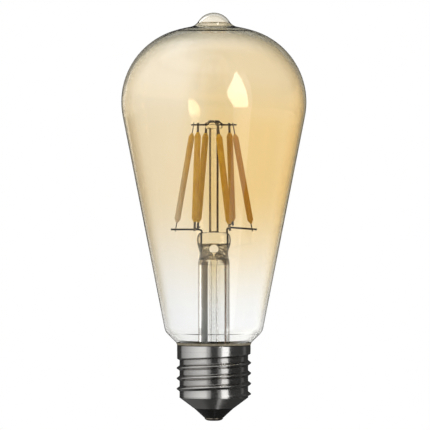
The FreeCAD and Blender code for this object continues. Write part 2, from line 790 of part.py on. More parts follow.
def cap_insulator():
    """Black glass cone that carries the contact and closes the shell's lower end."""
    lip = half(CONE_BOTTOM_DIAMETER)
    contact = half(CONTACT_DIAMETER)
    root = half(ROOT_DIAMETER)
    slope = (root - lip) / (THREAD_BOTTOM_Z - 0.2 - CONE_BOTTOM_Z)
    low = CONE_BOTTOM_Z
    inner_lip = (lip - SHELL_WALL - INSULATOR_FIT, low + SHELL_WALL * 0.4)
    inside_r = inner_lip[0] + slope * (INSULATOR_TOP_Z - inner_lip[1])
    return turned(
        [
            (half(RIVET_DIAMETER), CONTACT_HEIGHT),
            (contact, CONTACT_HEIGHT),
            (lip - 0.15, low - 0.1),
            inner_lip,
            (inside_r, INSULATOR_TOP_Z),
            (inside_r - 2.0, INSULATOR_TOP_Z - 0.8),
            (half(RIVET_DIAMETER) + 0.8, INSULATOR_TOP_Z - 0.8),
            (half(RIVET_DIAMETER), INSULATOR_TOP_Z - RIVET_SUNK),
        ]
    )


def contact_eyelet():
    """Brass contact button with its hollow rivet up through the insulator."""
    flat, rim = half(CONTACT_FLAT_DIAMETER), half(CONTACT_DIAMETER)
    shank, bore = half(RIVET_DIAMETER), half(RIVET_BORE)
    edge = 0.3
    top = INSULATOR_TOP_Z - RIVET_SUNK
    edges = [
        line((0.0, 0.0), (flat, 0.0)),
        Part.Arc(
            at(flat, 0.0),
            at((flat + rim) / 2 + 0.1, 0.22 * CONTACT_HEIGHT),
            at(rim, CONTACT_HEIGHT - edge),
        ).toShape(),
        *lines(
            [
                (rim, CONTACT_HEIGHT - edge),
                (rim, CONTACT_HEIGHT),
                (shank, CONTACT_HEIGHT),
                (shank, top),
                (bore, top),
                (bore, RIVET_FLOOR),
                (0.0, RIVET_FLOOR),
                (0.0, 0.0),
            ]
        ),
    ]
    return lathe(edges)


def contact_solder(live):
    """Solder that fills the rivet round the live wire."""
    plug = cylinder(RIVET_BORE, RIVET_FLOOR, INSULATOR_TOP_Z - RIVET_SUNK)
    return plug.cut(live)


def basing_cement():
    """Cement between the glass neck and the shell, with the bead that shows at the rim."""
    fillet, meet = bowl_end()
    skirt = half(SKIRT_DIAMETER)
    inside = skirt - SHELL_WALL
    root_inside = half(ROOT_DIAMETER) - SHELL_WALL - 0.05
    step = SKIRT_BOTTOM_Z
    away = CEMENT_FIT / math.sqrt(2)
    rim = bowl_point(skirt + CEMENT_BEAD)
    rim = (rim[0] + away, rim[1] - away)
    neck = half(NECK_DIAMETER) + CEMENT_FIT
    edges = [
        line((neck, CEMENT_BOTTOM_Z), (neck, fillet[1])),
        arc(fillet, NECK_FILLET - CEMENT_FIT, 180, 180 - BOWL_SLOPE),
        line((meet[0] + away, meet[1] - away), rim),
        line(rim, (skirt, skirt_top())),
        *lines(
            [
                (skirt, skirt_top()),
                (inside, skirt_top()),
                (inside, step),
                (root_inside, skirt_edge(FULL_TURN) - CREST_HALF_WIDTH),
                (root_inside, CEMENT_BOTTOM_Z),
                (neck, CEMENT_BOTTOM_Z),
            ]
        ),
    ]
    return lathe(edges)


# ---- driver and radio
def liner_outside():
    return half(ROOT_DIAMETER) - SHELL_WALL - LINER_CLEARANCE


def insulating_liner():
    """Plastic cup that keeps the driver off the live shell and carries the board on a ledge."""
    outside = liner_outside()
    inside = outside - LINER_WALL
    ledge_z = BOARD_TOP_Z - BOARD_THICKNESS
    return turned(
        [
            (outside, LINER_BOTTOM_Z),
            (outside, LINER_TOP_Z),
            (inside, LINER_TOP_Z),
            (inside, ledge_z),
            (inside - LINER_LEDGE, ledge_z),
            (inside - LINER_LEDGE, ledge_z - 0.8),
            (inside, ledge_z - 1.5),
            (inside, LINER_BOTTOM_Z),
        ]
    )


def board_holes():
    """Diameter and place of each hole in the driver board."""
    capacitor = [
        (CAPACITOR_AT[0], CAPACITOR_AT[1] - CAPACITOR_PITCH / 2),
        (CAPACITOR_AT[0], CAPACITOR_AT[1] + CAPACITOR_PITCH / 2),
    ]
    holes = [(COMPONENT_LEAD, p) for p in capacitor]
    holes += [(LEAD_WIRE, lead_pad(side)) for side in (0, 1)]
    holes += [(COMPONENT_LEAD, p) for p in inductor_legs()]
    holes.append((COMPONENT_LEAD, FUSE_AT))
    holes.append((COMPONENT_LEAD, NEUTRAL_AT))
    return holes


def driver_board():
    radius = liner_outside() - LINER_WALL - BOARD_CLEARANCE
    bottom = BOARD_TOP_Z - BOARD_THICKNESS
    board = cylinder(2 * radius, bottom, BOARD_TOP_Z).cut(
        cylinder(BOARD_HOLE, bottom - 1, BOARD_TOP_Z + 1)
    )
    for diameter, (x, y) in board_holes():
        board = board.cut(cylinder(diameter, bottom - 1, BOARD_TOP_Z + 1, x, y))
    return board


def bulk_capacitor():
    """Electrolytic capacitor's can, hanging under the board."""
    top = BOARD_TOP_Z - BOARD_THICKNESS
    x, y = CAPACITOR_AT
    can = cylinder(CAPACITOR_DIAMETER, top - CAPACITOR_HEIGHT, top, x, y)
    ends = [e for e in can.Edges if e.Closed]
    can = can.makeFillet(0.3, ends)
    groove = Part.makeTorus(half(CAPACITOR_DIAMETER) + 0.1, 0.35, Vector(x, y, top - 1.2), AXIS)
    return can.cut(groove)


def capacitor_leads():
    top = BOARD_TOP_Z - BOARD_THICKNESS
    x, y = CAPACITOR_AT
    offsets = (-CAPACITOR_PITCH / 2, CAPACITOR_PITCH / 2)
    return Part.Compound(
        [cylinder(COMPONENT_LEAD, top, BOARD_TOP_Z + 0.5, x, y + dy) for dy in offsets]
    )


def inductor_legs():
    x, y = INDUCTOR_AT
    return [(x - INDUCTOR_PITCH / 2, y), (x + INDUCTOR_PITCH / 2, y)]


def inductor_leads():
    top = BOARD_TOP_Z - BOARD_THICKNESS
    return Part.Compound(
        [cylinder(COMPONENT_LEAD, top, BOARD_TOP_Z + 0.5, x, y) for x, y in inductor_legs()]
    )


def inductor_core():
    """Ferrite drum: two flanges on a waist."""
    top = BOARD_TOP_Z - BOARD_THICKNESS
    x, y = INDUCTOR_AT
    bottom = top - INDUCTOR_HEIGHT
    flange = 0.8
    drum = cylinder(INDUCTOR_DIAMETER, bottom, bottom + flange, x, y)
    drum = drum.fuse(cylinder(INDUCTOR_DIAMETER * 0.5, bottom + flange, top - flange, x, y))
    drum = drum.fuse(cylinder(INDUCTOR_DIAMETER, top - flange, top, x, y))
    return drum.removeSplitter()


def inductor_winding():
    top = BOARD_TOP_Z - BOARD_THICKNESS
    x, y = INDUCTOR_AT
    bottom = top - INDUCTOR_HEIGHT
    coil = cylinder(INDUCTOR_DIAMETER * 0.9, bottom + 0.8, top - 0.8, x, y)
    return coil.cut(cylinder(INDUCTOR_DIAMETER * 0.5, bottom, top, x, y))


def chip_body(size, place, z, down=False):
    """Moulded chip body that stands off the board by its legs' foot."""
    foot = 0.12
    base = z - foot - size[2] if down else z + foot
    body = box(size, place[0], place[1], base)
    edges = [e for e in body.Edges if abs(e.BoundBox.ZLength) > size[2] * 0.9]
    return body.makeChamfer(0.25, edges)


def chip_legs(size, place, z, count, down=False):
    """Gull-wing legs along both long sides, each touching the board and the body."""
    legs = []
    foot = 0.12
    direction = -1 if down else 1
    thick, wide, reach = 0.12, 0.35, 0.6
    pitch = size[0] * 0.8 / (count - 1)
    for n in range(count):
        x = place[0] - size[0] * 0.4 + n * pitch
        for side in (-1, 1):
            edge = place[1] + side * size[1] / 2
            low = z if direction > 0 else z - foot - 0.5
            upright = box((wide, thick, foot + 0.5), x, edge + side * thick / 2, low)
            pad_z = z if direction > 0 else z - foot
            pad = box((wide, reach, foot), x, edge + side * (thick + reach / 2), pad_z)
            legs.append(upright.fuse(pad).removeSplitter())
    return Part.Compound(legs)


def bridge_rectifier():
    z = BOARD_TOP_Z - BOARD_THICKNESS
    return chip_body(BRIDGE_SIZE, BRIDGE_AT, z, down=True)


def bridge_legs():
    z = BOARD_TOP_Z - BOARD_THICKNESS
    return chip_legs(BRIDGE_SIZE, BRIDGE_AT, z, 2, down=True)


def driver_chip():
    return chip_body(CHIP_SIZE, CHIP_AT, BOARD_TOP_Z)


def driver_chip_legs():
    return chip_legs(CHIP_SIZE, CHIP_AT, BOARD_TOP_Z, 4)


def fuse_resistor():
    """Fusible resistor that stands under the board in the live lead."""
    top = BOARD_TOP_Z - BOARD_THICKNESS - FUSE_LIFT
    x, y = FUSE_AT
    body = cylinder(FUSE_DIAMETER, top - FUSE_LENGTH, top, x, y)
    return body.makeFillet(0.5, [e for e in body.Edges if e.Closed])


def fuse_lead():
    """Short lead from the resistor's top up through the board."""
    top = BOARD_TOP_Z - BOARD_THICKNESS - FUSE_LIFT
    return cylinder(COMPONENT_LEAD, top, BOARD_TOP_Z + 0.5, *FUSE_AT)


def live_wire():
    """Wire from the contact's rivet to the fusible resistor's lower end."""
    x, y = FUSE_AT
    foot = BOARD_TOP_Z - BOARD_THICKNESS - FUSE_LIFT - FUSE_LENGTH
    return bent_wire(
        [
            Vector(0, 0, 0.8),
            Vector(0, 0, INSULATOR_TOP_Z + 0.3),
            Vector(x, y, INSULATOR_TOP_Z + 0.6),
            Vector(x, y, foot),
        ],
        COMPONENT_LEAD,
        0.6,
    )


def neutral_wire():
    """Wire from the board, up over the liner's edge and out into the shell's top thread."""
    x, y = NEUTRAL_AT
    over = LINER_TOP_Z + half(COMPONENT_LEAD) + 0.15
    return bent_wire(
        [
            Vector(x, y, BOARD_TOP_Z - BOARD_THICKNESS - 0.4),
            Vector(x, y, over),
            Vector(-half(ROOT_DIAMETER) - NEUTRAL_POKE, 0.0, over),
        ],
        COMPONENT_LEAD,
        0.6,
    )


def radio_board():
    """Small upright board with the radio. Its antenna end stands up into the glass flare."""
    size = (RADIO_WIDTH, RADIO_THICKNESS, RADIO_HEIGHT)
    return box(size, 0, RADIO_Y + RADIO_THICKNESS / 2, BOARD_TOP_Z)


def radio_chip():
    back = RADIO_Y + RADIO_THICKNESS
    z = BOARD_TOP_Z + SHIELD_LIFT + (SHIELD_SIZE[2] - RADIO_CHIP_SIZE[2]) / 2
    return box(RADIO_CHIP_SIZE, 0, back + RADIO_CHIP_SIZE[1] / 2, z)


def radio_shield():
    """Tin can over the radio chip, open towards its board."""
    back = RADIO_Y + RADIO_THICKNESS
    z = BOARD_TOP_Z + SHIELD_LIFT
    outer = box(SHIELD_SIZE, 0, back + SHIELD_SIZE[1] / 2, z)
    room = [s - 2 * SHIELD_WALL for s in SHIELD_SIZE]
    room[1] = SHIELD_SIZE[1] - SHIELD_WALL
    return outer.cut(box(room, 0, back + room[1] / 2, z + SHIELD_WALL))


def radio_antenna():
    """Printed meander on the front of the radio board's upper end."""
    y = RADIO_Y - ANTENNA_THICKNESS / 2
    top = BOARD_TOP_Z + RADIO_HEIGHT - 0.4
    trace = None
    for n in range(4):
        z = top - ANTENNA_TRACE - n * ANTENNA_PITCH
        bar = box((ANTENNA_WIDTH, ANTENNA_THICKNESS, ANTENNA_TRACE), 0, y, z)
        side = 1 if n % 2 else -1
        x = side * (ANTENNA_WIDTH - ANTENNA_TRACE) / 2
        link = box((ANTENNA_TRACE, ANTENNA_THICKNESS, ANTENNA_PITCH), x, y, z - ANTENNA_PITCH)
        piece = bar.fuse(link) if n < 3 else bar
        trace = piece if trace is None else trace.fuse(piece)
    return trace.removeSplitter()


def chip_capacitors():
    """Ceramic capacitors and resistors on the board's top side."""
    return Part.Compound([box(SMALL_PART_SIZE, x, y, BOARD_TOP_Z) for x, y in SMALL_PARTS_AT])


def build():
    anchors = {name: anchor_wire(head) for name, (_, head, _, _) in FILAMENTS.items()}
    supports = {"left": support_wire(0), "right": support_wire(1)}
    seals = {"left": seal_wire(0), "right": seal_wire(1)}
    leads = {"left": lead_wire(0), "right": lead_wire(1)}
    live = live_wire()
    parts = {
        "glass_bulb": glass_bulb(),
        "stem_flare": stem_flare(),
        "stem_press": stem_press([*supports.values(), *seals.values(), *leads.values()]),
        "exhaust_tube": exhaust_tube(),
        "stem_rod": stem_rod(),
        "stem_button": stem_button(anchors.values()),
        "cross_wire_left": cross_wire(0),
        "cross_wire_right": cross_wire(1),
        "lead_sleeve": lead_sleeve(),
        "lead_weld": lead_weld(leads["right"]),
        "cap_shell": cap_shell(),
        "cap_insulator": cap_insulator(),
        "contact_eyelet": contact_eyelet(),
        "contact_solder": contact_solder(live),
        "basing_cement": basing_cement(),
        "insulating_liner": insulating_liner(),
        "driver_board": driver_board(),
        "bulk_capacitor": bulk_capacitor(),
        "capacitor_leads": capacitor_leads(),
        "inductor_core": inductor_core(),
        "inductor_winding": inductor_winding(),
        "inductor_leads": inductor_leads(),
        "bridge_rectifier": bridge_rectifier(),
        "bridge_legs": bridge_legs(),
        "driver_chip": driver_chip(),
        "driver_chip_legs": driver_chip_legs(),
        "fuse_resistor": fuse_resistor(),
        "fuse_lead": fuse_lead(),
        "live_wire": live,
        "neutral_wire": neutral_wire(),
        "radio_board": radio_board(),
        "radio_chip": radio_chip(),
        "radio_shield": radio_shield(),
        "radio_antenna": radio_antenna(),
        "chip_capacitors": chip_capacitors(),
    }
    for side in ("left", "right"):
        parts["support_wire_" + side] = supports[side]
        parts["seal_wire_" + side] = seals[side]
        parts["lead_wire_" + side] = leads[side]
    parts["anchor_wires"] = Part.Compound(list(anchors.values()))
    for name in FILAMENTS:
        place = filament_frame(name)
        for piece, shape in (
            ("coating", filament_coating(name)),
            ("strip", filament_strip(name)),
            ("chips", filament_chips(name)),
        ):
            shape.Placement = place
            parts["filament_" + name + "_" + piece] = shape
    return parts


os.makedirs("parts", exist_ok=True)
for node, shape in build().items():
    if not shape.isValid():
        print("not valid:", node)
    for solid in shape.Solids:
        if solid.Volume <= 0:
            print("no volume:", node)
    shape.exportStep("parts/" + node + ".step")
    print(node, len(shape.Solids), round(shape.Volume, 2))
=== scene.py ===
import json
import math

import bmesh
import bpy
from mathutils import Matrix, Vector


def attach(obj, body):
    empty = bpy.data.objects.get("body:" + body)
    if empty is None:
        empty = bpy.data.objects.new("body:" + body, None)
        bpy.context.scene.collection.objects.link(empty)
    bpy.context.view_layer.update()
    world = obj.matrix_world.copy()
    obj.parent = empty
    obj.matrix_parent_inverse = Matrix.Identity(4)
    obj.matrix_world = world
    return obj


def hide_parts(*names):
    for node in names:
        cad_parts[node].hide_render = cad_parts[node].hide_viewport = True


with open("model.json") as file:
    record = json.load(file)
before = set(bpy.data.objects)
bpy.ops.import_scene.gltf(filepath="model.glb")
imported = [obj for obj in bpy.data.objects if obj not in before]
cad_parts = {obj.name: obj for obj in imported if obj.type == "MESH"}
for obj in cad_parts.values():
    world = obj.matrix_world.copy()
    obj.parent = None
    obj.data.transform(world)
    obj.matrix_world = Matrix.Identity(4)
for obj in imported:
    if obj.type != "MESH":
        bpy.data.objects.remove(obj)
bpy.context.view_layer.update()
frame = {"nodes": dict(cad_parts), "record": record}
nodes = frame["nodes"]

# ---------------------------------------------------------------- node helpers


class Graph:
    """Short names for building a node tree."""

    def __init__(self, tree):
        self.tree = tree
        self.tree.nodes.clear()

    def node(self, kind, **values):
        n = self.tree.nodes.new(kind)
        for key, value in values.items():
            setattr(n, key, value)
        return n

    def wire(self, source, socket):
        if isinstance(source, (int, float)):
            socket.default_value = source
        elif isinstance(source, (tuple, list)):
            value = tuple(source)
            if len(socket.default_value) == 4 and len(value) == 3:
                value += (1.0,)
            socket.default_value = value
        else:
            self.tree.links.new(source, socket)

    def math(self, operation, a, b=0.0):
        n = self.node("ShaderNodeMath", operation=operation)
        self.wire(a, n.inputs[0])
        self.wire(b, n.inputs[1])
        return n.outputs[0]

    def add(self, a, b):
        return self.math("ADD", a, b)

    def sub(self, a, b):
        return self.math("SUBTRACT", a, b)

    def mul(self, a, b):
        return self.math("MULTIPLY", a, b)

    def ramp(self, value, low, high, out_low=0.0, out_high=1.0, smooth=True):
        kind = "SMOOTHSTEP" if smooth else "LINEAR"
        n = self.node("ShaderNodeMapRange", interpolation_type=kind)
        self.wire(value, n.inputs[0])
        for socket, v in zip(n.inputs[1:5], (low, high, out_low, out_high)):
            self.wire(v, socket)
        return n.outputs[0]

    def band(self, value, low, high, soft):
        """1 between low and high, with soft edges outside them."""
        rise = self.ramp(value, low - soft, low)
        fall = self.ramp(value, high, high + soft, 1.0, 0.0)
        return self.mul(rise, fall)

    def mix(self, share, a, b, blend="MIX"):
        n = self.node("ShaderNodeMix", data_type="RGBA", blend_type=blend)
        self.wire(share, n.inputs[0])
        self.wire(a, n.inputs[6])
        self.wire(b, n.inputs[7])
        return n.outputs[2]

    def noise(self, vector, scale, detail=3.0, rough=0.5, distort=0.0):
        n = self.node("ShaderNodeTexNoise")
        self.wire(vector, n.inputs["Vector"])
        n.inputs["Scale"].default_value = scale
        n.inputs["Detail"].default_value = detail
        n.inputs["Roughness"].default_value = rough
        n.inputs["Distortion"].default_value = distort
        return n.outputs[0]

    def object_point(self):
        return self.node("ShaderNodeTexCoord").outputs["Object"]

    def stretch(self, vector, scale):
        n = self.node("ShaderNodeMapping")
        self.wire(vector, n.inputs["Vector"])
        n.inputs["Scale"].default_value = scale
        return n.outputs[0]

    def split(self, vector):
        n = self.node("ShaderNodeSeparateXYZ")
        self.wire(vector, n.inputs[0])
        return n.outputs

    def bump(self, height, strength, distance):
        n = self.node("ShaderNodeBump")
        self.wire(height, n.inputs["Height"])
        n.inputs["Strength"].default_value = strength
        n.inputs["Distance"].default_value = distance
        return n.outputs[0]


def material(name):
    m = bpy.data.materials.new(name)
    m.use_nodes = True
    g = Graph(m.node_tree)
    out = g.node("ShaderNodeOutputMaterial")
    shader = g.node("ShaderNodeBsdfPrincipled")
    g.wire(shader.outputs[0], out.inputs["Surface"])
    g.shader = shader
    return m, g


def settle(g, **values):
    """Sets the shader's own sockets; a name's underscores are spaces."""
    for key, value in values.items():
        g.wire(value, g.shader.inputs[key.replace("_", " ")])


# ---------------------------------------------------------------- materials
# Heights are from the contact's end, in metres; x runs from the lamp's left to its right.

# CREVICE_DARK and CREVICE_OPEN: where the painted crevice shade is full and where it ends
CREVICE_DARK = 0.66  # open share of the sky
CREVICE_OPEN = 0.94
TINT_STARTS_Z = 0.034
TINT_FULL_Z = 0.082
SHOULDER_Z = (0.098, 0.126)
CROWN_Z = (0.126, 0.140)
# CROWN_EDGE_Z and EDGE_BAND_Z: heights where the painted shade along the glass's edges deepens towards
# the crown and where it begins
CROWN_EDGE_Z = (0.112, 0.134)
EDGE_BAND_Z = (0.030, 0.045)
# TINT_PALE_X to TINT_DEEP_X: the amber fades paler towards the left, a painted highlight for the soft
# reflection there
TINT_PALE_X = -0.014
TINT_DEEP_X = 0.004
# where the stem's glass turns warmer, a painted reflection of the amber bulb above
STEM_AMBER_REFLECTION_Z = (0.036, 0.060)
PRESS_WRINKLE_Z = (0.0575, 0.0608)
PRESS_WRINKLE_SOFT = 0.0012
# CAP_GROOVE and CEMENT_GROOVE: how far the painted crevice shade looks for hidden sky
CAP_GROOVE = 0.0025
CEMENT_GROOVE = 0.0012
# the next two: where the coating turns deeper to the right, and where it turns pale to the left, the
# pale being painted light
PHOSPHOR_RIGHT_X = (0.001, 0.009)
PHOSPHOR_LIT_X = (-0.0078, -0.0128)
SLEEVE_X = -0.0033
SLEEVE_Z = (0.030, 0.052)
SLEEVE_STRANDS = 12.0
SLEEVE_PITCH = 9000.0  # radians of weave for each metre of length

def edge_shade(g, start, end, normal=None):
    """How far a look across the glass skims along it, for the dark line at glass edges: partly the
    longer way through the wall, partly painted shade for the dark surroundings the glass bends and
    mirrors there.
    """
    facing = g.node("ShaderNodeLayerWeight")
    facing.inputs["Blend"].default_value = 0.5
    if normal is not None:
        g.wire(normal, facing.inputs["Normal"])
    return g.ramp(facing.outputs["Facing"], start, end)


def crevice_shade_mask(g, reach):
    """1 in the open, falling to 0 where much of the sky within the reach is hidden: the mask for
    painted shade in crevices.
    """
    n = g.node("ShaderNodeAmbientOcclusion", samples=8)
    n.inputs["Distance"].default_value = reach
    return g.ramp(n.outputs["AO"], CREVICE_DARK, CREVICE_OPEN)


def tinted_glass():
    """Thin glass with an amber coating that fades out towards the neck and thins over the crown. Its
    left side is paler, a painted highlight, and its edges carry painted shade.
    """
    m, g = material("tinted_glass")
    point = g.object_point()
    x, _, z = g.split(point)
    rise = g.ramp(z, TINT_STARTS_Z, TINT_FULL_Z)
    shoulder = g.ramp(z, *SHOULDER_Z, 1.0, 0.66)
    crown = g.ramp(z, *CROWN_Z, 1.0, 0.4)
    drift = g.noise(g.stretch(point, (1, 1, 0.45)), 55.0, 2.0)
    cloud = g.ramp(drift, 0.2, 0.8, 0.9, 1.0, False)
    # painted highlight: paler amber towards the left
    pale_left_highlight = g.ramp(x, TINT_PALE_X, TINT_DEEP_X, 0.62, 1.0)
    thick = g.mul(g.mul(rise, shoulder), g.mul(crown, cloud))
    tint = g.mix(g.mul(thick, pale_left_highlight), (0.975, 0.98, 0.975), (0.93, 0.775, 0.49))
    # painted shade along the edges, wider and darker towards the crown
    crown_edge = g.ramp(z, *CROWN_EDGE_Z)
    edge_shade_tone = g.mix(crown_edge, (0.78, 0.70, 0.54), (0.40, 0.39, 0.29))
    band = g.mul(edge_shade(g, 0.40, 0.82), g.ramp(z, *EDGE_BAND_Z, 0.3, 1.0))
    tint = g.mix(band, tint, edge_shade_tone, "MULTIPLY")
    # painted shade: the dark outline where the look skims the glass
    tint = g.mix(edge_shade(g, 0.80, 0.97), tint, (0.50, 0.45, 0.36))
    settle(
        g,
        Base_Color=tint,
        Roughness=0.0,
        IOR=1.46,
        Transmission_Weight=1.0,
    )
    ripple = g.noise(g.stretch(point, (1, 1, 0.3)), 90.0, 1.0)
    g.wire(g.bump(ripple, 0.05, 0.0004), g.shader.inputs["Normal"])
    return m


def clear_glass(name, start, end, edge, squeezed=False):
    """Drawn glass: colourless face on, warmer higher up as a painted reflection of the amber bulb, and
    brown and dark where it is looked at edgewise, partly painted shade.

    Squeezed glass is wrinkled where the press's jaws ended; the wrinkles tilt the painted edge shade
    into mottled dark patches.
    """
    m, g = material(name)
    point = g.object_point()
    z = g.split(point)[2]
    # painted reflection: warmer towards the top, from the amber bulb above
    body = g.mix(g.ramp(z, *STEM_AMBER_REFLECTION_Z), (0.985, 0.985, 0.98), (0.985, 0.955, 0.87))
    draw = g.noise(g.stretch(point, (1, 1, 0.2)), 260.0, 2.0)
    normal = g.bump(draw, 0.08, 0.0003)
    if squeezed:
        wrinkle = g.noise(g.stretch(point, (1, 1, 1.6)), 520.0, 2.0, 0.5, 0.6)
        zone = g.band(z, *PRESS_WRINKLE_Z, PRESS_WRINKLE_SOFT)
        height = g.add(g.mul(draw, 0.02), g.mul(wrinkle, zone))
        normal = g.bump(height, 1.0, 0.0025)
    # painted shade: towards the edge colour where the look skims the glass or its wrinkles
    clear = g.mix(edge_shade(g, start, end, normal), body, edge)
    settle(
        g,
        Base_Color=clear,
        Roughness=0.0,
        IOR=1.38,
        Transmission_Weight=1.0,
        Normal=normal,
    )
    return m


def metal(name, colour, dark, rough, scale, stretch=(1, 1, 1), strength=0.15, crevice_shade=None):
    """Worked metal: drawn or rolled streaks in the gloss, and a little tarnish. Given a crevice shade
    colour, it also gets painted shade in its grooves.
    """
    m, g = material(name)
    point = g.object_point()
    grain = g.noise(g.stretch(point, stretch), scale, 4.0, 0.6)
    patch = g.noise(point, scale * 0.08, 3.0, 0.6)
    colour_out = g.mix(g.ramp(patch, 0.35, 0.75), colour, dark)
    if crevice_shade is not None:
        # painted shade: the colour turns to the crevice shade colour in the grooves
        colour_out = g.mix(crevice_shade_mask(g, CAP_GROOVE), crevice_shade, colour_out)
    settle(
        g,
        Base_Color=colour_out,
        Metallic=1.0,
        Roughness=g.ramp(grain, 0.3, 0.7, rough * 0.8, rough * 1.35, False),
    )
    g.wire(g.bump(grain, strength, 0.00004), g.shader.inputs["Normal"])
    return m


def plain(name, colour, other, rough, scale, bump=0.2, distance=0.0001, **more):
    """Moulded, fired or coated stuff: a slightly uneven colour and a fine grain."""
    m, g = material(name)
    point = g.object_point()
    fine = g.noise(point, scale, 4.0, 0.6)
    broad = g.noise(point, scale * 0.1, 2.0)
    settle(
        g,
        Base_Color=g.mix(g.ramp(broad, 0.3, 0.7), colour, other),
        Roughness=g.ramp(fine, 0.3, 0.7, rough * 0.85, min(1.0, rough * 1.15), False),
        **more,
    )
    g.wire(g.bump(fine, bump, distance), g.shader.inputs["Normal"])
    return m


def cement():
    """Grainy tan cement, with painted shade where it meets the rolled edge of the skirt."""
    m, g = material("cement")
    point = g.object_point()
    grain = g.noise(point, 1500.0, 4.0, 0.7)
    body = g.mix(g.ramp(grain, 0.35, 0.65), (0.20, 0.17, 0.12), (0.36, 0.32, 0.23))
    # painted shade along the join with the skirt
    colour = g.mix(crevice_shade_mask(g, CEMENT_GROOVE), (0.02, 0.016, 0.012), body)
    settle(g, Base_Color=colour, Roughness=0.85, Specular_IOR_Level=0.2)
    g.wire(g.bump(grain, 0.7, 0.0003), g.shader.inputs["Normal"])
    return m


def phosphor():
    """Silicone full of phosphor: golden, a little see-through, matt, with small pits and lumps; deeper
    on the right, and paler on the left as painted light.
    """
    m, g = material("phosphor")
    point = g.object_point()
    x = g.split(point)[0]
    fine = g.noise(point, 2600.0, 3.0, 0.6)
    broad = g.noise(point, 260.0, 2.0)
    colour = g.mix(g.ramp(broad, 0.3, 0.7), (0.84, 0.55, 0.05), (0.72, 0.43, 0.03))
    colour = g.mix(g.ramp(x, *PHOSPHOR_RIGHT_X), colour, (0.70, 0.38, 0.025))
    # painted light: paler towards the left, where the light falls
    colour = g.mix(g.ramp(x, *PHOSPHOR_LIT_X), colour, (0.80, 0.68, 0.50))
    settle(
        g,
        Base_Color=colour,
        Roughness=g.ramp(fine, 0.3, 0.7, 0.6, 0.75, False),
        Subsurface_Weight=0.2,
        Subsurface_Radius=(0.0009, 0.0006, 0.0003),
        Subsurface_Scale=1.0,
        Specular_IOR_Level=0.0,
    )
    g.wire(g.bump(fine, 0.25, 0.00005), g.shader.inputs["Normal"])
    return m


def sleeve():
    """Woven glass-fibre sleeve, brown near the press and grey lower down."""
    m, g = material("sleeve")
    point = g.object_point()
    x, y, z = g.split(point)
    turn = g.mul(g.math("ARCTAN2", y, g.sub(x, SLEEVE_X)), SLEEVE_STRANDS)
    along = g.mul(z, SLEEVE_PITCH)
    left = g.math("SINE", g.add(turn, along))
    right = g.math("SINE", g.sub(turn, along))
    weave = g.math("MAXIMUM", left, right)
    body = g.mix(g.ramp(z, *SLEEVE_Z), (0.44, 0.45, 0.41), (0.48, 0.37, 0.22))
    gap = g.mix(0.45, body, (0.05, 0.04, 0.03))
    colour = g.mix(g.ramp(weave, -0.2, 0.9), gap, body)
    settle(g, Base_Color=colour, Roughness=0.65, Specular_IOR_Level=0.3)
    g.wire(g.bump(weave, 0.5, 0.0001), g.shader.inputs["Normal"])
    return m


# painted shade in the cap's thread grooves
CAP_CREVICE_SHADE = (0.06, 0.045, 0.035)
DRAWN = (1, 1, 0.2)
ROLLED = (1, 1, 6)
MATERIALS = {
    "tinted_glass": tinted_glass(),
    "clear_glass": clear_glass("clear_glass", 0.30, 0.75, (0.12, 0.08, 0.04)),
    "support_wire": metal("support_wire", (0.045, 0.03, 0.015), (0.03, 0.02, 0.01), 0.6, 900, DRAWN),
    "seal_wire": metal("seal_wire", (0.08, 0.045, 0.02), (0.05, 0.03, 0.015), 0.6, 900, DRAWN),
    "copper": metal("copper", (0.40, 0.24, 0.15), (0.28, 0.16, 0.10), 0.45, 900),
    "tinned_wire": metal("tinned_wire", (0.62, 0.61, 0.58), (0.5, 0.49, 0.46), 0.3, 900),
    "sleeve": sleeve(),
    "phosphor": phosphor(),
    "strip": metal("strip", (0.16, 0.13, 0.09), (0.10, 0.08, 0.055), 0.45, 1200),
    "led_die": plain("led_die", (0.05, 0.09, 0.16), (0.08, 0.12, 0.2), 0.2, 2000, 0.1),
    "cap_metal": metal(
        "cap_metal", (0.78, 0.77, 0.75), (0.70, 0.68, 0.65), 0.16, 420, ROLLED, 0.1, CAP_CREVICE_SHADE
    ),
    "insulator": plain(
        "insulator", (0.006, 0.006, 0.006), (0.012, 0.012, 0.011), 0.1, 350, 0.08, 0.0002
    ),
    "contact": metal("contact", (0.35, 0.31, 0.25), (0.25, 0.22, 0.18), 0.35, 700),
    "solder": metal("solder", (0.55, 0.55, 0.53), (0.4, 0.4, 0.38), 0.35, 500, (1, 1, 1), 0.4),
    "cement": cement(),
    "liner": plain("liner", (0.75, 0.74, 0.70), (0.7, 0.69, 0.65), 0.5, 800),
    "board": plain("board", (0.01, 0.09, 0.035), (0.012, 0.075, 0.03), 0.3, 700),
    "capacitor_can": plain("capacitor_can", (0.015, 0.018, 0.03), (0.02, 0.022, 0.035), 0.35, 500),
    "ferrite": plain("ferrite", (0.03, 0.03, 0.03), (0.045, 0.045, 0.045), 0.6, 1200, 0.5),
    "chip": plain("chip", (0.02, 0.02, 0.02), (0.03, 0.03, 0.03), 0.5, 1500, 0.4),
    "resistor": plain("resistor", (0.12, 0.22, 0.17), (0.14, 0.25, 0.2), 0.45, 700),
    "shield": metal("shield", (0.62, 0.61, 0.58), (0.5, 0.5, 0.47), 0.25, 600),
    "small_ceramic": plain("small_ceramic", (0.35, 0.24, 0.15), (0.42, 0.3, 0.2), 0.5, 900),
}

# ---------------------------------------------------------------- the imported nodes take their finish

slots = {s["node"]: s["material_slot"] for s in frame["record"]["subparts"]}
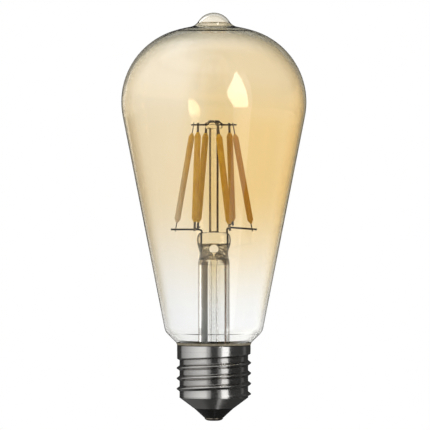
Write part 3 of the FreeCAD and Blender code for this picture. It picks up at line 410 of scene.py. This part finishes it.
# rod and press glass: darker, wider painted edge shade
rod_glass = clear_glass("rod_glass", 0.06, 0.24, (0.03, 0.015, 0.005))
press_glass = clear_glass("press_glass", 0.04, 0.42, (0.10, 0.07, 0.03), squeezed=True)
OWN_GLASS = {"stem_rod": rod_glass, "stem_press": press_glass}
for name, piece in nodes.items():
    piece.data.materials.clear()
    piece.data.materials.append(OWN_GLASS.get(name, MATERIALS[slots[name]]))

# ---------------------------------------------------------------- wires fused into the glass

WETTING = 0.00003  # how far the wire's surface lies inside the glass that wets it
SAME_POINT = 1e-7
SHARP_EDGE = math.radians(40)
FUSED_WIRES = (
    "support_wire_left",
    "support_wire_right",
    "seal_wire_left",
    "seal_wire_right",
    "anchor_wires",
)


def fused_wire(name):
    """The wire as the glass shows it: the glass has wetted it, so no air is left between the two."""
    piece = bpy.data.objects.new("fused_" + name, nodes[name].data.copy())
    bpy.context.scene.collection.objects.link(piece)
    shape = bmesh.new()
    shape.from_mesh(piece.data)
    bmesh.ops.remove_doubles(shape, verts=shape.verts, dist=SAME_POINT)
    shape.normal_update()
    for vert in shape.verts:
        vert.co += vert.normal * WETTING
    for edge in shape.edges:
        edge.smooth = len(edge.link_faces) == 2 and edge.calc_face_angle() < SHARP_EDGE
    for face in shape.faces:
        face.smooth = True
    shape.to_mesh(piece.data)
    shape.free()
    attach(piece, "root")
    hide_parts(name)


for name in FUSED_WIRES:
    fused_wire(name)

# ---------------------------------------------------------------- floor, light and camera


FLOOR_RADIUS = 1.3
FLOOR_Z = -0.03
FLOOR_FADE = (0.12, 0.5)  # from the lamp's axis, where the floor turns into plain white


def pale_floor():
    """A pale round table under the lamp. Further out it glows white, and the lamp doesn't mirror it."""
    bpy.ops.mesh.primitive_circle_add(
        vertices=128, radius=FLOOR_RADIUS, fill_type="NGON", location=(0, 0, FLOOR_Z)
    )
    floor = bpy.context.object
    floor.name = "floor"
    m = bpy.data.materials.new("floor")
    m.use_nodes = True
    g = Graph(m.node_tree)
    out = g.node("ShaderNodeOutputMaterial")
    matte = g.node("ShaderNodeBsdfDiffuse")
    matte.inputs[0].default_value = (0.86, 0.86, 0.86, 1)
    white = g.node("ShaderNodeEmission")
    blend = g.node("ShaderNodeMixShader")
    x, y, _ = g.split(g.object_point())
    away = g.math("SQRT", g.add(g.mul(x, x), g.mul(y, y)))
    g.wire(g.ramp(away, *FLOOR_FADE), blend.inputs[0])
    g.wire(matte.outputs[0], blend.inputs[1])
    g.wire(white.outputs[0], blend.inputs[2])
    g.wire(blend.outputs[0], out.inputs["Surface"])
    floor.data.materials.append(m)
    floor.visible_glossy = False


BOX_LEVEL = 21.0
BOX_LEFT = 19.0  # degrees right of the front, where the box reaches furthest left
BOX_RIGHT = 43.0
BOX_WIDEST_LIFT = 14.0
BOX_BULGE = 0.017  # how fast its left edge draws in above and below there
BOX_TOP_RIGHT = 39.0
BOX_TOP_LIFT = 48.0
BOX_RIGHT_LEAN = 0.1
BOX_BOTTOM = (-22.0, -20.5)
BOX_TOP = (47.0, 51.0)
BOX_SOFT = 1.5
FAR_WALL_DEPTH = 3.5  # a ray mirrored by the far wall has gone through more surfaces than this
FAR_WALL_NARROWER = 11.0
FAR_WALL_DIMMER = 14.0
FAR_CONE_LIFT = (19.0, 28.0)
FAR_CONE_DIMMER = 5.0
FLOOR_LIGHT = 0.9


def studio():
    """White backdrop for what is seen straight on or through the glass, and a studio to be mirrored.

    The studio is a big pale card on the left, a bright box on the right, and dark between and behind
    them. It isn't physical light. One direction has different brightness by how a ray got there: seen
    straight on or through glass, mirrored outside the glass, mirrored inside it by the near or the far
    wall, or lighting the floor or the things in the glass.
    """
    world = bpy.data.worlds.new("studio")
    bpy.context.scene.world = world
    world.use_nodes = True
    g = Graph(world.node_tree)
    out = g.node("ShaderNodeOutputWorld")
    x, y, z = g.split(g.node("ShaderNodeTexCoord").outputs["Generated"])
    turn = g.mul(g.math("ARCTAN2", x, g.mul(y, -1.0)), 180 / math.pi)  # 0 in front, + to the right
    lift = g.mul(g.math("ARCSINE", z), 180 / math.pi)
    path = g.node("ShaderNodeLightPath").outputs

    def light(total, level, turns, lifts, soft=(4.0, 8.0)):
        patch = g.mul(g.band(turn, *turns, soft[0]), g.band(lift, *lifts, soft[1]))
        return g.add(total, g.mul(patch, level))

    # what is mirrored from outside the glass
    outer = 0.04
    card = g.ramp(turn, -120.0, -45.0, 0.26, 0.78, False)
    outer = light(outer, card, (-120, -25), (-28, 32), (5, 12))
    outer = light(outer, 0.36, (-20, -13), (-28, 32), (4, 12))
    outer = light(outer, 0.24, (15, 23), (-28, 32), (2, 12))
    outer = light(outer, 1.25, (26, 48), (-34, 36), (2, 12))
    outer = light(outer, 0.75, (-110, 20), (48, 74), (15, 8))
    outer = light(outer, 0.08, (108, 118), (-30, 30))
    outer = light(outer, 0.06, (-175, -115), (-60, -25), (10, 10))
    outer = light(outer, 0.4, (159, 164), (-82, -55), (3, 6))
    # what is mirrored from inside it
    behind = g.ramp(g.math("ABSOLUTE", turn), 95.0, 145.0, 0.0, 0.62)
    inner = g.add(g.add(0.10, behind), g.ramp(lift, 10.0, 70.0, 0.0, 0.30))
    deep = g.math("GREATER_THAN", path["Transmission Depth"], FAR_WALL_DEPTH)
    low = g.sub(lift, BOX_WIDEST_LIFT)
    left_edge = g.add(BOX_LEFT, g.mul(g.mul(low, low), BOX_BULGE))
    lean = g.mul(g.sub(BOX_TOP_LIFT, lift), BOX_RIGHT_LEAN)
    right_edge = g.math("MINIMUM", BOX_RIGHT, g.add(BOX_TOP_RIGHT, lean))
    right_edge = g.sub(right_edge, g.mul(deep, FAR_WALL_NARROWER))
    from_left = g.ramp(g.sub(turn, left_edge), -BOX_SOFT, 0.0)
    to_right = g.ramp(g.sub(turn, right_edge), 0.0, BOX_SOFT, 1.0, 0.0)
    from_below = g.ramp(lift, *BOX_BOTTOM)
    to_above = g.ramp(lift, *BOX_TOP, 1.0, 0.0)
    box = g.mul(g.mul(from_left, to_right), g.mul(from_below, to_above))
    on_cone = g.mul(g.band(lift, *FAR_CONE_LIFT, 4.0), FAR_CONE_DIMMER)
    dimmer = g.mul(deep, g.add(FAR_WALL_DIMMER, on_cone))
    inner = g.add(inner, g.mul(box, g.sub(BOX_LEVEL, dimmer)))
    inner = light(inner, 1.2, (-150, -40), (-18, 60), (14, 10))
    # what lights the things in it
    across = g.ramp(turn, -60.0, 60.0, 1.0, 0.72)
    shade = g.add(across, g.ramp(lift, -60.0, 60.0, -0.15, 0.2))

    def more(a, b):
        return g.math("GREATER_THAN", a, b)

    def choose(test, yes, no):
        return g.add(g.mul(test, yes), g.mul(g.sub(1.0, test), no))

    bounced = more(g.add(path["Diffuse Depth"], path["Glossy Depth"]), 0.5)
    within = more(path["Transmission Depth"], 0.5)
    mirrored = choose(more(path["Diffuse Depth"], 0.5), shade, inner)
    open_air = g.mul(more(path["Diffuse Depth"], 0.5), more(0.5, path["Glossy Depth"]))
    around = choose(open_air, FLOOR_LIGHT, outer)
    level = choose(bounced, choose(within, mirrored, around), 1.0)
    back = g.node("ShaderNodeBackground")
    colour = g.node("ShaderNodeCombineColor")
    for socket in colour.inputs[:3]:
        g.wire(level, socket)
    g.wire(colour.outputs[0], back.inputs[0])
    back.inputs[1].default_value = 1.0
    g.wire(back.outputs[0], out.inputs[0])
    bpy.context.scene.view_settings.view_transform = "Standard"


SENSOR_WIDTH = 36.0
LENS = 480.0
FRAME_HEIGHT = 0.15006
TILT = math.radians(0.6)
AIM = Vector((0.0004, 0.0, 0.0718))


def camera():
    """Level with the lamp's middle but for a slight tilt, from far off with a long lens."""
    data = bpy.data.cameras.new("camera")
    cam = bpy.data.objects.new("camera", data)
    bpy.context.scene.collection.objects.link(cam)
    data.sensor_width = SENSOR_WIDTH
    data.lens = LENS
    distance = FRAME_HEIGHT * LENS / SENSOR_WIDTH
    cam.location = AIM + Vector((0, -math.cos(TILT), math.sin(TILT))) * distance
    cam.rotation_euler = (math.radians(90) - TILT, 0, 0)
    data.clip_start, data.clip_end = 0.1, 20
    bpy.context.scene.camera = cam


pale_floor()
studio()
camera()
